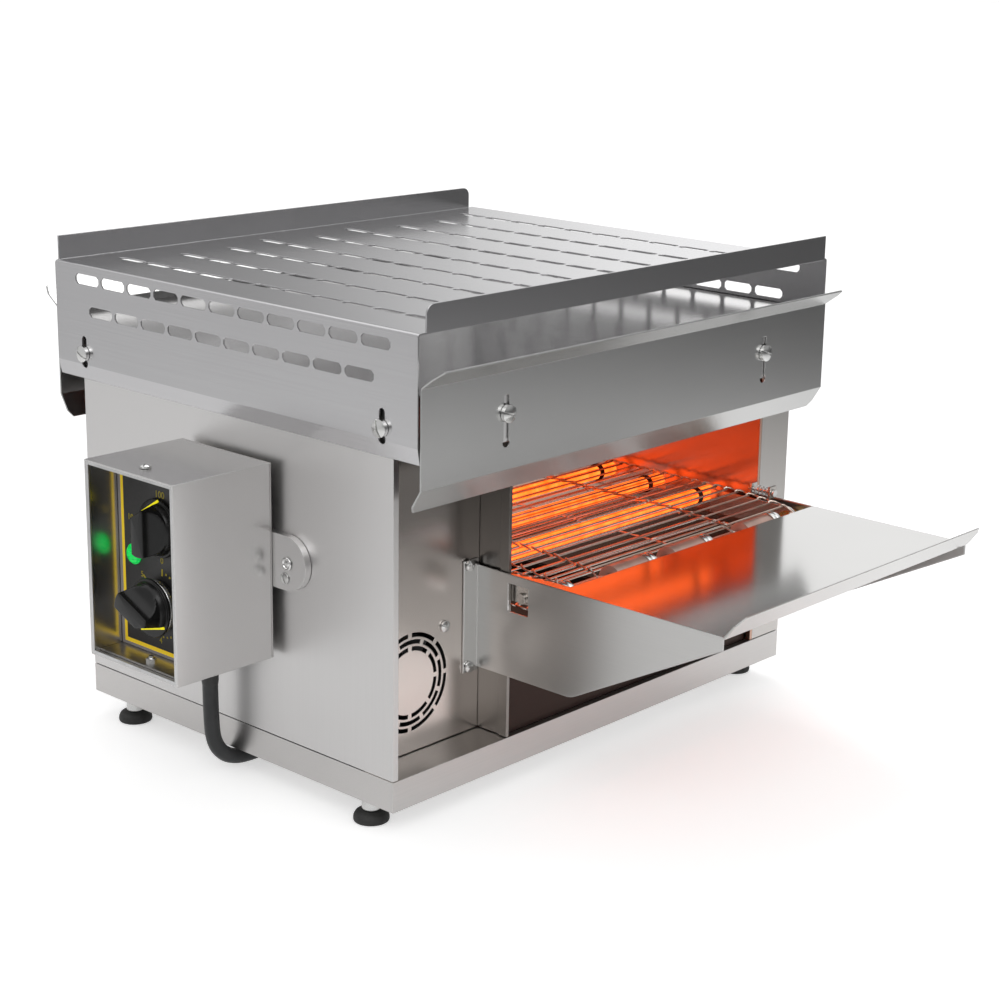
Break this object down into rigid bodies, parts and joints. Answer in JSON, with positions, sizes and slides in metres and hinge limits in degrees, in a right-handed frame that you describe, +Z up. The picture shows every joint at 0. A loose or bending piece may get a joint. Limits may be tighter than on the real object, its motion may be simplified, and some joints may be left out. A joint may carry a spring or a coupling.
{
  "type": "conveyor toaster",
  "caption": "Counter-top conveyor toaster with a wire belt, quartz heaters, toast tray, sliding deflectors and a side control box.",
  "frame": {"origin": "on the counter, under the middle of the whole machine's bounding box", "axes": "+X to the right seen from the front, +Y from the toast tray to the back, +Z up"},
  "size_m": [0.5532, 0.5868, 0.3773],
  "materials": {
    "steel_panel": "brushed stainless sheet",
    "bright_steel": "bright polished steel",
    "bright_aluminium": "bright reflector sheet",
    "plated_screws": "plated",
    "brass": "turned brass",
    "quartz": "frosted quartz, glowing orange",
    "ceramic": "white ceramic",
    "rubber": "matt black rubber",
    "black_plastic": "satin black",
    "scale_black": "printed black scale plate",
    "green_lens": "clear green",
    "motor_paint": "black enamel"
  },
  "bodies": {
    "machine": {"base_tray": "steel_panel", "foot_pucks": "rubber", "foot_studs": "plated_screws", "left_casing": "steel_panel", "right_casing": "steel_panel", "case_top_plate": "bright_steel", "fan_panel": "steel_panel", "rear_panel": "steel_panel", "chamber_left_wall": "bright_steel", "chamber_right_wall": "bright_steel", "tension_tab": "bright_steel", "heat_reflector": "bright_aluminium", "upper_heater_tubes": "quartz", "lower_heater_tubes": "quartz", "heater_end_blocks": "ceramic", "top_cover": "steel_panel", "cover_screws": "plated_screws", "deflector_screws": "plated_screws", "wire_belt": "bright_steel", "left_arm": "steel_panel", "right_arm": "steel_panel", "front_bushes": "brass", "tension_screw": "plated_screws", "tension_spring": "plated_screws", "drive_bushes": "brass", "drive_chain": "bright_steel", "gear_motor": "motor_paint", "motor_bracket": "steel_panel", "toast_tray": "steel_panel", "tray_screws": "plated_screws", "fan_frame": "black_plastic", "fan_screws": "plated_screws", "control_box_hood": "steel_panel", "control_box_back": "steel_panel", "panel_carrier": "steel_panel", "scale_plate": "scale_black", "upper_switch": "black_plastic", "lower_switch": "black_plastic", "pilot_lamp": "green_lens", "box_screws": "plated_screws", "box_bracket": "steel_panel", "bracket_fixings": "plated_screws", "control_cable": "rubber", "box_gland": "black_plastic", "base_gland": "black_plastic", "terminal_block": "black_plastic"},
    "front_deflector": {"front_deflector": "steel_panel"},
    "rear_deflector": {"rear_deflector": "steel_panel"},
    "crumb_tray": {"crumb_tray": "steel_panel"},
    "drive_roller": {"drive_axle": "bright_steel", "drive_bobbins": "bright_steel", "drive_sprocket": "bright_steel"},
    "front_roller": {"front_axle": "bright_steel", "front_bobbins": "bright_steel"},
    "motor_output": {"motor_sprocket": "bright_steel"},
    "fan_impeller": {"fan_impeller": "black_plastic"},
    "upper_knob": {"upper_knob": "black_plastic", "upper_spindle": "bright_steel"},
    "lower_knob": {"lower_knob": "black_plastic", "lower_spindle": "bright_steel"}
  },
  "joints": [
    {"name": "front_deflector_slide", "type": "slide", "parent": "machine", "child": "front_deflector", "axis": [0, 0, 1], "range_m": [-0.009, 0.016]},
    {"name": "rear_deflector_slide", "type": "slide", "parent": "machine", "child": "rear_deflector", "axis": [0, 0, 1], "range_m": [-0.009, 0.016]},
    {"name": "crumb_tray_slide", "type": "slide", "parent": "machine", "child": "crumb_tray", "axis": [0, -1, 0], "range_m": [0, 0.3]},
    {"name": "drive_spin", "type": "hinge", "parent": "machine", "child": "drive_roller", "pos_m": [0.0427, 0.22485, 0.154], "axis": [1, 0, 0], "continuous": true},
    {"name": "front_roller_spin", "type": "hinge", "parent": "machine", "child": "front_roller", "pos_m": [0.0427, -0.12315, 0.154], "axis": [1, 0, 0], "continuous": true},
    {"name": "motor_spin", "type": "hinge", "parent": "machine", "child": "motor_output", "pos_m": [-0.0799, 0.15745, 0.096], "axis": [1, 0, 0], "continuous": true},
    {"name": "fan_spin", "type": "hinge", "parent": "machine", "child": "fan_impeller", "pos_m": [-0.1366, -0.04695, 0.0945], "axis": [0, 1, 0], "continuous": true},
    {"name": "upper_knob_turn", "type": "hinge", "parent": "machine", "child": "upper_knob", "pos_m": [-0.2489, 0.0756, 0.203], "axis": [1, 0, 0], "range_deg": [0, 270]},
    {"name": "lower_knob_turn", "type": "hinge", "parent": "machine", "child": "lower_knob", "pos_m": [-0.2489, 0.0756, 0.147], "axis": [1, 0, 0], "range_deg": [-102, 168]}
  ],
  "couplings": [
    {"joint": "front_roller_spin", "follows": "drive_spin", "ratio": 1},
    {"joint": "motor_spin", "follows": "drive_spin", "ratio": 1.3333}
  ]
}
